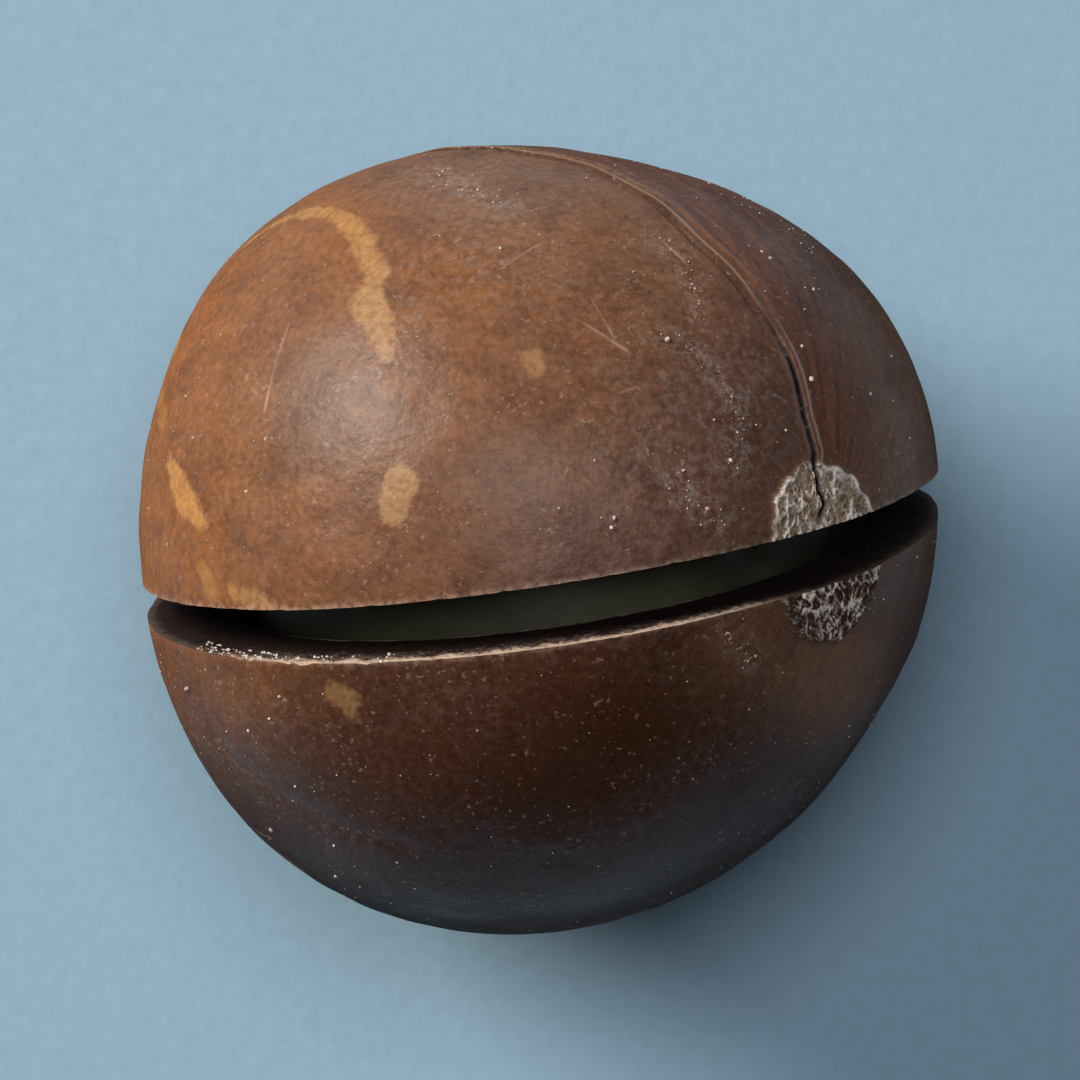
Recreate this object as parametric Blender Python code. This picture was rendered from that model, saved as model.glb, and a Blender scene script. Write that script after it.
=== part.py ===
"""Macadamia nut in its shell, sawn part-way round so that it can be prised open.

It has two pieces: a hollow woody shell, and the loose kernel that lies in it. The nut lies on a small
flat spot with its stalk scar turned up and to the right. The saw slot runs over the top from one side
to the other and through the scar, and the underside is left whole as a bridge.

Metres, +Z up. The origin is on the surface that the nut lies on, under the middle of the nut.
"""

import math

import bmesh
import bpy
import numpy as np
from mathutils import Matrix, Vector

MM = 0.001

# Outer form of the shell
PLAN_RADIUS = 12.575 * MM
HALF_HEIGHT = 12.25 * MM
FLAT_SPOT_RADIUS = 2.5 * MM
# Each lobe of the outline seen from above: lobes in a turn, height, bearing of one lobe's crest
OUTLINE_LOBES = (
    (1, 0.27 * MM, 145.0),
    (2, 0.17 * MM, 29.0),
    (3, 0.31 * MM, 16.0),
    (4, 0.135 * MM, 39.0),
)

# Stalk scar: the rough pad where the nut hung, which is one pole of the seed
SCAR_BEARING = -2.3
SCAR_ELEVATION = 45.3
SCAR_RADIUS = 2.75 * MM
SCAR_RISE = 0.10 * MM
NET_HEIGHT = 0.16 * MM
NET_SPACING = 1.3 * MM

# Suture: the seam that runs from the scar to the tip
SUTURE_AZIMUTH_AT_SCAR = -12.0
SUTURE_DRIFT = 9.0 / 90.0
SUTURE_RIDGE_HEIGHT = 0.22 * MM
SUTURE_CRACK_DEPTH = 0.20 * MM
SUTURE_HALF_WIDTH = 0.40 * MM
# Angles from the scar axis at which the crack is fully open, ends, and the raised seam dies away
CRACK_START = 15.0
CRACK_END = 36.0
SEAM_FADE, SEAM_END = 150.0, 172.0

# Tip: the slightly pointed far pole, with faint ribs that run together on it
TIP_RISE = 0.45 * MM
TIP_SPREAD = 15.0
RIB_COUNT = 13
RIB_HEIGHT = 0.13 * MM
RIB_REACH = 45.0
RIB_CLEAR_OF_TIP = 10.0

# Wall, saw slot and kernel
WALL = 2.5 * MM
SLOT_WIDTH = 1.15 * MM
SLOT_GAPE = 0.70 * MM
SLOT_SKEW = 0.15 * MM
SLOT_SHIFT = -0.17 * MM
SLOT_BEARING = 8.0
SLOT_LEAN = 10.6
SLOT_END_DROP = 5.3 * MM
SAW_REACH = 1.3 * PLAN_RADIUS
KERNEL_RADIUS = 9.1 * MM
KERNEL_POINT = 0.35 * MM
KERNEL_POINT_SPREAD = 25.0
KERNEL_SEAM_DEPTH = 0.15 * MM
KERNEL_SEAM_HALF_WIDTH = 0.7 * MM
KERNEL_SEAM_AZIMUTH = 25.0
REST_GAP = 0.35 * MM

# Mesh density: points round the seed and from pole to pole, and how much they crowd to the relief
SHELL_MERIDIANS, SHELL_RINGS = 72, 40
CAVITY_MERIDIANS, CAVITY_RINGS = 40, 20
KERNEL_MERIDIANS, KERNEL_RINGS = 48, 24
MERIDIAN_CROWDING, RING_CROWDING = 0.5, 0.3
SAW_SIDES = 48


def direction(bearing, elevation):
    """Unit vector at a compass-like bearing from +X towards +Y and an elevation, in degrees."""
    turn, lift = math.radians(bearing), math.radians(elevation)
    return Vector((math.cos(turn) * math.cos(lift), math.sin(turn) * math.cos(lift), math.sin(lift)))


SCAR_AXIS = direction(SCAR_BEARING, SCAR_ELEVATION)
SLOT_NORMAL = direction(SLOT_BEARING + 90.0, SLOT_LEAN)


def seed_frame():
    """Columns: across the slot, along the slot, and the scar axis, all square to each other."""
    across = (SLOT_NORMAL - SCAR_AXIS * SLOT_NORMAL.dot(SCAR_AXIS)).normalized()
    along = SCAR_AXIS.cross(across)
    return np.array((across, along, SCAR_AXIS)).T


def slot_frame():
    """Turns a disc's axis onto the slot's normal, with X to the left and Y up in the slot's plane."""
    upward = direction(SLOT_BEARING, 0.0).cross(SLOT_NORMAL)
    leftward = upward.cross(SLOT_NORMAL)
    return Matrix((leftward, upward, SLOT_NORMAL)).transposed().to_4x4()


def slot_width(rightward, upward):
    """The slot gapes like a mouth: widest at the top, narrower at the sides, and least on the left."""
    return SLOT_WIDTH + (SLOT_GAPE * upward + SLOT_SKEW * rightward) / PLAN_RADIUS


def bump(distance, half_width):
    """A smooth bell that is 1 at no distance and about a third at half_width."""
    return np.exp(-((distance / half_width) ** 2))


def fade(value, start, end):
    """0 before start and 1 after end, with a smooth change between."""
    share = np.clip((value - start) / (end - start), 0.0, 1.0)
    return share * share * (3.0 - 2.0 * share)


def body_radius(directions):
    """Distance from the middle to the smooth skin: a flattened ball with a few low lobes in plan."""
    x, y, z = directions.T
    level = np.hypot(x, y)
    bearing = np.arctan2(y, x)
    radius = PLAN_RADIUS - (PLAN_RADIUS - HALF_HEIGHT) * z**2
    for lobes, height, crest in OUTLINE_LOBES:
        radius = radius + height * level**lobes * np.cos(lobes * (bearing - math.radians(crest)))
    return radius


def suture_azimuth(polar):
    """The suture leaves the scar a little to one side and drifts back on its way to the tip."""
    return np.radians(SUTURE_AZIMUTH_AT_SCAR) + SUTURE_DRIFT * polar


def scar_relief(polar, azimuth):
    """A low round pad that carries a raised net."""
    reach = polar * PLAN_RADIUS
    pad = 1.0 - fade(reach, 0.8 * SCAR_RADIUS, 1.1 * SCAR_RADIUS)
    across, along = reach * np.cos(azimuth), reach * np.sin(azimuth)
    turn = 2.0 * math.pi / NET_SPACING
    net = np.cos(turn * across) * np.cos(turn * along + 0.8) + 0.4 * np.cos(1.7 * turn * along)
    return pad * (SCAR_RISE + NET_HEIGHT * net)


def suture_relief(polar, offset):
    """A crack near the scar that turns into a raised seam. offset is the angle from the suture."""
    distance = PLAN_RADIUS * np.sin(polar) * offset
    along = np.degrees(polar)
    opened = fade(along, CRACK_START - 4.0, CRACK_START)
    opened = opened * (1.0 - fade(along, CRACK_END - 6.0, CRACK_END + 2.0))
    raised = fade(along, CRACK_END - 2.0, CRACK_END + 10.0) * (1.0 - fade(along, SEAM_FADE, SEAM_END))
    height = SUTURE_RIDGE_HEIGHT * raised - SUTURE_CRACK_DEPTH * opened
    return height * bump(distance, SUTURE_HALF_WIDTH)


def tip_relief(polar, offset):
    """A soft point at the tip, and ribs that fade out away from it."""
    from_tip = 180.0 - np.degrees(polar)
    point = TIP_RISE * bump(from_tip, TIP_SPREAD)
    near = 1.0 - fade(from_tip, 0.35 * RIB_REACH, RIB_REACH)
    clear_of_pole = fade(from_tip, 0.2 * RIB_CLEAR_OF_TIP, RIB_CLEAR_OF_TIP)
    return point + RIB_HEIGHT * near * clear_of_pole * np.cos(RIB_COUNT * offset)


def shell_radius(directions, polar, offset):
    """The skin of the shell: its smooth body with the scar, the suture and the tip on it."""
    azimuth = suture_azimuth(polar) + offset
    relief = scar_relief(polar, azimuth) + suture_relief(polar, offset) + tip_relief(polar, offset)
    return body_radius(directions) + relief


def cavity_radius(directions, polar, offset):
    """The inside of the wall follows the smooth body."""
    return body_radius(directions) - WALL


def kernel_radius(directions, polar, offset):
    """A ball with a blunt point towards the tip and a shallow seam between its two halves."""
    point = KERNEL_POINT * bump(180.0 - np.degrees(polar), KERNEL_POINT_SPREAD)
    across_seam = np.sin(polar) * np.sin(offset - math.radians(KERNEL_SEAM_AZIMUTH))
    from_seam = KERNEL_RADIUS * np.abs(across_seam)
    return KERNEL_RADIUS + point - KERNEL_SEAM_DEPTH * bump(from_seam, KERNEL_SEAM_HALF_WIDTH)


def seed_mesh(meridians, rings, radius_of):
    """A ball with its poles at the scar and the tip, whose points are moved out to radius_of.

    The rings crowd towards the poles and the meridians towards the suture, where the relief is.
    """
    mesh = bmesh.new()
    bmesh.ops.create_uvsphere(mesh, u_segments=meridians, v_segments=rings, radius=1.0)
    points = np.array([vertex.co for vertex in mesh.verts])
    even = np.arccos(np.clip(points[:, 2], -1.0, 1.0))
    polar = even - RING_CROWDING * np.sin(2.0 * even)
    turn = np.arctan2(points[:, 1], points[:, 0])
    offset = turn - MERIDIAN_CROWDING * np.sin(turn)
    azimuth = suture_azimuth(polar) + offset
    local = np.stack(
        (np.sin(polar) * np.cos(azimuth), np.sin(polar) * np.sin(azimuth), np.cos(polar)), axis=1
    )
    directions = local @ seed_frame().T
    places = directions * radius_of(directions, polar, offset)[:, None]
    for vertex, place in zip(mesh.verts, places):
        vertex.co = place
    return mesh


def cut_flat(mesh, point, outwards):
    """Cuts off what lies beyond the plane through a point, and closes the cut with one flat face."""
    cut = bmesh.ops.bisect_plane(
        mesh,
        geom=mesh.verts[:] + mesh.edges[:] + mesh.faces[:],
        plane_co=point,
        plane_no=outwards,
        clear_outer=True,
    )
    rim = [item for item in cut["geom_cut"] if isinstance(item, bmesh.types.BMEdge)]
    bmesh.ops.edgeloop_fill(mesh, edges=rim)
    bmesh.ops.recalc_face_normals(mesh, faces=mesh.faces[:])


def saw_mesh():
    """A thin wedge-shaped disc in the slot, cut off level below so that the bridge stays whole."""
    mesh = bmesh.new()
    bmesh.ops.create_cone(
        mesh,
        cap_ends=True,
        segments=SAW_SIDES,
        radius1=SAW_REACH,
        radius2=SAW_REACH,
        depth=SLOT_WIDTH,
    )
    cut_flat(mesh, (0.0, -SLOT_END_DROP, 0.0), (0.0, -1.0, 0.0))
    for vertex in mesh.verts:
        half = 0.5 * slot_width(-vertex.co.x, vertex.co.y)
        vertex.co.z = SLOT_SHIFT + math.copysign(half, vertex.co.z)
    mesh.transform(slot_frame())
    return mesh


def add_object(name, mesh, collection, parent):
    """Puts a finished mesh into the scene as a smooth-shaded object."""
    data = bpy.data.meshes.new(name)
    mesh.to_mesh(data)
    mesh.free()
    data.shade_smooth()
    data.set_sharp_from_angle(angle=math.radians(40.0))
    thing = bpy.data.objects.new(name, data)
    collection.objects.link(thing)
    thing.parent = parent
    return thing


def add_cutter(name, mesh, collection, parent):
    """A shape that is only taken away from another one."""
    cutter = add_object(name, mesh, collection, parent)
    cutter.hide_render = True
    cutter.display_type = "WIRE"
    return cutter


def cut_away(thing, cutter):
    """Takes the cutter's shape out of the object."""
    modifier = thing.modifiers.new(cutter.name, "BOOLEAN")
    modifier.operation = "DIFFERENCE"
    modifier.object = cutter


def surface_material(name, colour, roughness):
    """A plain finish with a colour and a roughness."""
    material = bpy.data.materials.new(name)
    material.use_nodes = True
    shader = material.node_tree.nodes["Principled BSDF"]
    shader.inputs["Base Color"].default_value = (*colour, 1.0)
    shader.inputs["Roughness"].default_value = roughness
    shader.inputs["Metallic"].default_value = 0.0
    return material


def add_shell(collection, cutters, parent):
    """The woody shell: the skin with its flat spot, then the cavity and the slot cut out of it."""
    skin = seed_mesh(SHELL_MERIDIANS, SHELL_RINGS, shell_radius)
    flat_level = -math.sqrt(HALF_HEIGHT**2 - FLAT_SPOT_RADIUS**2)
    cut_flat(skin, (0.0, 0.0, flat_level), (0.0, 0.0, -1.0))
    shell = add_object("shell", skin, collection, parent)
    cavity = seed_mesh(CAVITY_MERIDIANS, CAVITY_RINGS, cavity_radius)
    cut_away(shell, add_cutter("cavity_cutter", cavity, cutters, parent))
    cut_away(shell, add_cutter("saw_cutter", saw_mesh(), cutters, parent))
    shell.data.materials.append(surface_material("woody_shell", (0.16, 0.065, 0.035), 0.45))
    return shell


def add_kernel(collection, parent):
    """The loose kernel, which has dropped to the floor of the cavity."""
    kernel = add_object(
        "kernel",
        seed_mesh(KERNEL_MERIDIANS, KERNEL_RINGS, kernel_radius),
        collection,
        parent,
    )
    floor = WALL - HALF_HEIGHT + REST_GAP
    kernel.location.z = floor + KERNEL_RADIUS
    kernel.data.materials.append(surface_material("kernel_skin", (0.52, 0.43, 0.26), 0.5))
    return kernel


def stand_on_origin(parent, shell):
    """Moves the whole nut so that the box of its shell stands centred over the origin."""
    bpy.context.view_layer.update()
    seen = shell.evaluated_get(bpy.context.evaluated_depsgraph_get())
    corners = np.array([seen.matrix_world @ vertex.co for vertex in seen.data.vertices])
    low, high = corners.min(axis=0), corners.max(axis=0)
    parent.location = (-(low[0] + high[0]) / 2.0, -(low[1] + high[1]) / 2.0, -low[2])


def main():
    for old in list(bpy.data.objects):
        bpy.data.objects.remove(old, do_unlink=True)
    parts = bpy.data.collections.new("macadamia_nut")
    cutters = bpy.data.collections.new("cutters")
    for collection in (parts, cutters):
        bpy.context.scene.collection.children.link(collection)
    middle = bpy.data.objects.new("middle_of_nut", None)
    parts.objects.link(middle)
    shell = add_shell(parts, cutters, middle)
    add_kernel(parts, middle)
    stand_on_origin(middle, shell)


main()
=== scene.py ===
"""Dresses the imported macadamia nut: its woody shell with the sawn slot, the kernel in it, and a studio.

Shapes are worked out in millimetres from the middle of the nut, and are put into the frame at the end.
"""

import itertools
import math

import bmesh
import bpy
import numpy as np
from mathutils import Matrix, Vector


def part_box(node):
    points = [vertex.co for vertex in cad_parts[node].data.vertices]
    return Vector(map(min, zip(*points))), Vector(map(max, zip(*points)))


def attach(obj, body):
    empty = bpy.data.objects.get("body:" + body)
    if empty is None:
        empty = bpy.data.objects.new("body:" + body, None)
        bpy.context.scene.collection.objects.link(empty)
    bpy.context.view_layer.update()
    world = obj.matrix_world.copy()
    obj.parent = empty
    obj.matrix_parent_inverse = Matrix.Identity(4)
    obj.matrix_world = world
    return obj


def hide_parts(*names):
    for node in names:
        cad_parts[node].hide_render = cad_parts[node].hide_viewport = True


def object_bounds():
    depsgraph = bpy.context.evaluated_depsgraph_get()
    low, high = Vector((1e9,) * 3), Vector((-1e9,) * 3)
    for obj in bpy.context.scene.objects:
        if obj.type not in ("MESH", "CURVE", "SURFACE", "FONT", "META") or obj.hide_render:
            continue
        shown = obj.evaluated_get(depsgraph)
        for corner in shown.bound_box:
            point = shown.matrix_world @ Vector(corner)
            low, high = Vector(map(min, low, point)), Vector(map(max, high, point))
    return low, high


bl_info = {
    "name": "Sawn macadamia nut",
    "version": (1, 0, 0),
    "blender": (4, 5, 0),
    "location": "3D View > Sidebar > Macadamia",
    "description": "A macadamia nut in its sawn shell, with its kernel, floor, light and camera",
    "category": "Add Mesh",
}

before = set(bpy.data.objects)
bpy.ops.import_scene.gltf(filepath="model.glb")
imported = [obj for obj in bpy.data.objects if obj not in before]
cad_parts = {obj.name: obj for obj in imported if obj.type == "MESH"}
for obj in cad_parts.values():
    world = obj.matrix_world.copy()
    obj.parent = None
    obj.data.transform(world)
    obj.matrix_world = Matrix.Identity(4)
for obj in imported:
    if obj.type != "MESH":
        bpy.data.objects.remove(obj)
CAD_LOW, CAD_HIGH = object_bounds()

MM = 0.001

# Outer form of the shell, in mm and degrees, as in the solids
PLAN_RADIUS = 12.575
HALF_HEIGHT = 12.25
FLAT_SPOT_RADIUS = 2.5
OUTLINE_LOBES = ((1, 0.27, 145.0), (2, 0.17, 29.0), (3, 0.31, 16.0), (4, 0.135, 39.0))
FLOOR_DROP = math.sqrt(HALF_HEIGHT**2 - FLAT_SPOT_RADIUS**2)

# Scar: a pad of torn fibres. Suture: a crack near the scar, then a raised seam. Tip: a soft point
SCAR_BEARING, SCAR_ELEVATION = -2.3, 45.3
SCAR_REACH, SCAR_RISE = 2.75, 0.08
NET_HEIGHT, NET_CELL = 0.11, 0.42
SUTURE_AZIMUTH_AT_SCAR = -12.0
SUTURE_DRIFT = 0.10
SEAM_HEIGHT, SEAM_HALF_WIDTH = 0.08, 0.15
CRACK_DEPTH, CRACK_HALF_WIDTH = 0.22, 0.08
CRACK_END = 36.0
# The crack's lips, alike on both sides, then the dip and the ridge beside the seam, each as mm to the
# left of it, height and half width
LIP_ASIDE, LIP_HEIGHT, LIP_HALF_WIDTH = 0.28, 0.02, 0.12
SEAM_SIDES = ((0.24, -0.08, 0.10), (-0.50, 0.04, 0.16))
TIP_RISE, TIP_SPREAD = 0.45, 15.0
RIB_COUNT, RIB_HEIGHT, RIB_REACH = 13, 0.13, 45.0

# Slot and kernel
SLOT_GAPE, SLOT_SKEW, SLOT_SHIFT = 0.70, 0.15, -0.17
SLOT_BEARING, SLOT_LEAN = 8.0, 10.6
SLOT_END_DROP = 5.3
KERNEL_RADIUS, KERNEL_POINT, KERNEL_POINT_SPREAD = 9.1, 0.35, 25.0
KERNEL_SEAM_DEPTH, KERNEL_SEAM_HALF_WIDTH, KERNEL_SEAM_AZIMUTH = 0.15, 0.7, 25.0

# Marks on the skin as seen from above: x, y and half width there, in mm
# Ochre flecks, each with how strongly it shows
OCHRE_FLECKS = (
    (0.80, ((-9.15, 9.2, 0.14), (-8.4, 9.8, 0.20), (-7.6, 10.1, 0.24), (-6.4, 10.1, 0.26),
            (-5.6, 9.5, 0.36), (-5.3, 8.8, 0.48), (-4.95, 8.2, 0.28), (-5.25, 7.3, 0.62),
            (-4.85, 6.3, 0.44), (-4.7, 5.6, 0.16))),
    (0.85, ((-11.35, 6.5, 0.16), (-11.45, 5.8, 0.18))),
    (0.35, ((-11.95, 4.9, 0.24), (-11.75, 3.6, 0.32))),
    (0.95, ((-11.55, 2.5, 0.22), (-11.2, 1.7, 0.44), (-10.95, 1.1, 0.46), (-10.5, 0.4, 0.30))),
    (0.80, ((-4.3, 2.2, 0.22), (-4.35, 1.45, 0.66), (-4.45, 0.85, 0.46))),
    (0.50, ((-0.15, 5.5, 0.30), (-0.1, 5.2, 0.34))),
    (0.45, ((-10.5, -0.95, 0.22), (-10.2, -1.7, 0.34))),
    (0.65, ((-9.5, -1.7, 0.26), (-8.8, -2.0, 0.34), (-8.3, -2.1, 0.20))),
    (0.42, ((-6.3, -4.75, 0.30), (-5.95, -4.95, 0.42), (-5.7, -5.7, 0.20))),
)
HIDDEN_FLECKS = 14
# Fine scratches, each as its two ends and its half width
SCRATCHES = (
    (-7.65, 6.75, -8.57, 3.4, 0.09), (-8.46, 3.05, -7.9, 2.8, 0.06),
    (1.05, 6.74, 3.06, 5.49, 0.07), (1.25, 7.8, 2.48, 5.78, 0.065), (2.3, 4.39, 3.2, 4.72, 0.07),
    (3.55, 9.45, 4.75, 8.25, 0.07), (0.2, 9.2, -1.4, 8.1, 0.06),
)
HIDDEN_SCRATCHES = 8
# Trails and patches of fine dust
DUST_TRAILS = (
    ((3.6, 9.4, 0.5), (4.7, 8.2, 0.5), (4.9, 6.9, 0.3)),
    ((3.9, 6.1, 0.25), (4.6, 5.9, 0.25), (5.3, 5.2, 0.25), (5.9, 4.3, 0.35), (6.15, 3.2, 0.35),
     (5.9, 2.2, 0.45)),
    ((6.3, 11.1, 0.5), (8.0, 9.6, 0.5), (8.5, 8.9, 0.3)),
    ((4.0, 1.9, 0.3), (4.9, 0.9, 0.4), (5.6, 0.4, 0.3)),
    ((-3.4, 11.5, 0.3), (-2.2, 10.9, 0.4), (-0.8, 10.2, 0.3)),
    ((5.7, -2.9, 0.3), (6.1, -3.2, 0.4), (6.6, -3.8, 0.3)),
)
# A shallow crease low on the front, which runs along the rim
CREASE = (
    (-10.4, -5.6, 0.20), (-9.6, -6.9, 0.34), (-8.4, -7.9, 0.36), (-6.6, -8.9, 0.28), (-4.2, -9.5, 0.14),
)
CREASE_DEPTH = 0.06
# Round places of the skin with a tint or dust: strength, then x, y and radius
# The places below the slot lift the painted shade there
LIGHT_BELOW_SLOT = ((0.7, 6.4, -3.0, 1.8), (0.8, 9.0, -4.4, 1.9))
WARM_ABOVE_SLOT = ((0.8, 6.5, 9.3, 1.5), (0.8, -6.8, 9.6, 2.6))
WARM_BELOW_SLOT = ((0.7, -8.6, -4.4, 2.4), (0.4, 9.4, -4.4, 1.8))
# Partly painted shade
PLUM_PLACE = (0.85, 6.0, 3.5, 4.8)
DUSTY_PLACES = ((0.30, 5.0, 2.5, 4.0), (0.20, -1.0, 9.5, 4.0))
# The grains of dust that stand out: x, y and radius
CLEAR_GRAINS = (
    (3.93, 6.09, 0.13), (5.15, 0.87, 0.12), (1.7, 2.35, 0.08), (4.4, 2.05, 0.08), (4.0, 1.5, 0.08),
    (2.3, 0.6, 0.09), (1.9, 0.6, 0.07), (2.2, 0.3, 0.09), (5.85, 2.35, 0.12), (5.35, 3.6, 0.08),
    (5.9, 4.3, 0.09), (6.9, 8.85, 0.10), (7.15, 8.65, 0.09), (8.5, 7.7, 0.07), (8.2, 7.05, 0.07),
    (10.95, 5.65, 0.07), (10.25, 4.45, 0.07), (11.0, 4.25, 0.07), (11.5, 3.1, 0.08), (7.6, 3.3, 0.08),
    (8.1, 5.9, 0.09), (8.4, 4.9, 0.10), (-10.95, -4.7, 0.13), (-8.0, -4.9, 0.09), (-8.35, -5.6, 0.07),
    (-9.75, -6.05, 0.06), (-9.05, -6.0, 0.07), (-7.6, -7.75, 0.08), (-8.4, -9.15, 0.10), (-6.4, -9.6, 0.07),
    (-6.35, -10.55, 0.07), (-4.4, -10.05, 0.07), (-3.85, -10.85, 0.06), (-8.46, 3.05, 0.08),
    (-9.1, 1.43, 0.08), (-11.52, -0.2, 0.08), (-10.75, 3.1, 0.07), (-11.0, 4.4, 0.07), (11.8, -0.6, 0.09),
    (-1.2, 8.9, 0.06), (2.9, 8.2, 0.06), (0.6, 0.9, 0.06), (-1.9, -5.9, 0.06), (4.3, -6.8, 0.06),
)

# Mesh density, and the finishes of the shell's faces
CUT_COLUMNS, BRIDGE_COLUMNS, CAP_ROWS = 300, 80, 96
LINING_ROWS, WALL_ROWS, BAND_ROWS = 14, 10, 8
KERNEL_COLUMNS, KERNEL_ROWS = 180, 46
COAT, SAWN, LINING = 0, 1, 2
# Rounds in which a point settles on the skin, and in which the slot's edge settles on its plane
SKIN_ROUNDS, LIP_ROUNDS = 12, 8

# Small grains of dust: how many, their radii in mm, and in degrees where those on the sawn wall lie
GRAINS_PER_TRAIL, WALL_GRAINS = 22, 130
TRAIL_GRAIN_RADII, LOOSE_GRAIN_RADII, WALL_GRAIN_RADII = (0.02, 0.055), (0.018, 0.045), (0.025, 0.085)
WALL_GRAINS_START, WALL_GRAINS_SPAN = -106.0, 38.0


def linear(hex_colour):
    """Turns an sRGB colour such as #8A5B41 to linear red, green and blue."""
    shares = [int(hex_colour[i : i + 2], 16) / 255.0 for i in (1, 3, 5)]
    return tuple(s / 12.92 if s <= 0.04045 else ((s + 0.055) / 1.055) ** 2.4 for s in shares)


def direction(bearing, elevation):
    """Unit vector at a bearing from +X towards +Y and an elevation, in degrees."""
    turn, lift = math.radians(bearing), math.radians(elevation)
    return np.array((math.cos(turn) * math.cos(lift), math.sin(turn) * math.cos(lift), math.sin(lift)))


def unit(vectors):
    """The same directions, one unit long."""
    return vectors / np.linalg.norm(vectors, axis=-1, keepdims=True)


SCAR_AXIS = direction(SCAR_BEARING, SCAR_ELEVATION)
SLOT_NORMAL = direction(SLOT_BEARING + 90.0, SLOT_LEAN)
SLOT_RIGHT = direction(SLOT_BEARING, 0.0)
SLOT_UP = np.cross(SLOT_RIGHT, SLOT_NORMAL)
# In the slot's plane, longitude is counted from the scar
LONGITUDE_ZERO = unit(SCAR_AXIS - SLOT_NORMAL * (SCAR_AXIS @ SLOT_NORMAL))
LONGITUDE_SQUARE = np.cross(SLOT_NORMAL, LONGITUDE_ZERO)
SEED_ACROSS = unit(SLOT_NORMAL - SCAR_AXIS * (SLOT_NORMAL @ SCAR_AXIS))
SEED_ALONG = np.cross(SCAR_AXIS, SEED_ACROSS)


def bump(distance, half_width):
    """A smooth bell that is 1 at no distance and about a third at half_width."""
    return np.exp(-((distance / half_width) ** 2))


def fade(value, start, end):
    """0 before start and 1 after end, with a smooth change between."""
    share = np.clip((value - start) / (end - start), 0.0, 1.0)
    return share * share * (3.0 - 2.0 * share)


def waves(points, wavelength, count, seed):
    """A smooth random field from about -1 to 1: a sum of count plane waves in random directions."""
    draw = np.random.default_rng(seed)
    ways = unit(draw.normal(size=(count, 3))) * 2.0 * math.pi / wavelength
    ways = ways * draw.uniform(0.7, 1.3, size=(count, 1))
    starts = draw.uniform(0.0, 2.0 * math.pi, count)
    total = np.zeros(len(points))
    for way, start in zip(ways, starts):
        total += np.cos(points @ way + start)
    return total * math.sqrt(2.0 / count) * 0.6


def cell_net(places, size, seed):
    """Net between scattered cells: 1 where the two nearest cell middles are equally far, else less."""
    draw = np.random.default_rng(seed)
    tile = 64
    jitter = draw.uniform(0.08, 0.92, size=(tile, tile, 2))
    home = np.floor(places / size).astype(int)
    gaps = []
    for step in itertools.product((-1, 0, 1), repeat=2):
        cell = home + step
        middles = (cell + jitter[cell[:, 0] % tile, cell[:, 1] % tile]) * size
        gaps.append(np.linalg.norm(places - middles, axis=1))
    gaps = np.sort(gaps, axis=0)
    return bump(gaps[1] - gaps[0], 0.21 * size)


def seed_angles(directions):
    """Angle from the scar axis, angle about it, and that second angle counted from the suture."""
    polar = np.arccos(np.clip(directions @ SCAR_AXIS, -1.0, 1.0))
    azimuth = np.arctan2(directions @ SEED_ALONG, directions @ SEED_ACROSS)
    wander = 0.012 * np.sin(9.0 * polar + 0.5) + 0.006 * np.sin(23.0 * polar)
    # Inside the scar the crack is jagged
    wander += bump(polar, 0.2) * (0.10 * np.sin(41.0 * polar) + 0.05 * np.sin(97.0 * polar))
    suture = math.radians(SUTURE_AZIMUTH_AT_SCAR) + SUTURE_DRIFT * polar + wander
    offset = (azimuth - suture + math.pi) % (2.0 * math.pi) - math.pi
    return polar, azimuth, offset


def body_radius(directions):
    """Distance from the middle to the smooth skin: a flattened ball with a few low lobes in plan."""
    x, y, z = directions.T
    level = np.hypot(x, y)
    bearing = np.arctan2(y, x)
    radius = PLAN_RADIUS - (PLAN_RADIUS - HALF_HEIGHT) * z**2
    for lobes, height, crest in OUTLINE_LOBES:
        radius = radius + height * level**lobes * np.cos(lobes * (bearing - math.radians(crest)))
    return radius


def on_skin(places):
    """Points of the smooth skin that stand above places x, y seen from above."""
    places = np.asarray(places, float)
    height = np.full(len(places), 6.0)
    for _ in range(SKIN_ROUNDS):
        radius = body_radius(unit(np.column_stack((places, height))))
        height = np.sqrt(np.maximum(radius**2 - (places**2).sum(axis=1), 0.3))
    return np.column_stack((places, height))


def nearest_mark(points, marks):
    """Depth of each point inside its nearest mark in mm, below 0 outside, and that mark's number.

    A mark is a chain of round-ended tapering strokes, with rows x, y, half seen from above, or
    x, y, z, half.
    """
    depth = np.full(len(points), -3.0)
    which = np.zeros(len(points), int)
    for number, mark in enumerate(marks):
        rows = np.asarray(mark, float)
        stops = rows[:, :3] if rows.shape[1] == 4 else on_skin(rows[:, :2])
        halves = rows[:, -1]
        for start, end, wide, narrow in zip(stops[:-1], stops[1:], halves[:-1], halves[1:]):
            way = end - start
            share = np.clip((points - start) @ way / (way @ way), 0.0, 1.0)
            gap = np.linalg.norm(points - start - share[:, None] * way, axis=1)
            inside = wide + (narrow - wide) * share - gap
            which[inside > depth] = number
            depth = np.maximum(depth, inside)
    return depth, which


def hidden_marks(count, lengths, halves, highest, seed):
    """Straight marks on the sides and underside, which run roughly from the scar towards the tip."""
    draw = np.random.default_rng(seed)
    marks = []
    while len(marks) < count:
        way = unit(draw.normal(size=3))
        if way[2] > highest:
            continue
        along = unit(SCAR_AXIS - way * (SCAR_AXIS @ way) + draw.normal(scale=0.35, size=3))
        reach = along * draw.uniform(*lengths) / 2.0
        half = draw.uniform(*halves)
        ends = unit(np.array((way * PLAN_RADIUS - reach, way * PLAN_RADIUS + reach)))
        ends = ends * body_radius(ends)[:, None]
        marks.append(((*ends[0], half), (*ends[1], 0.6 * half)))
    return marks


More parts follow.
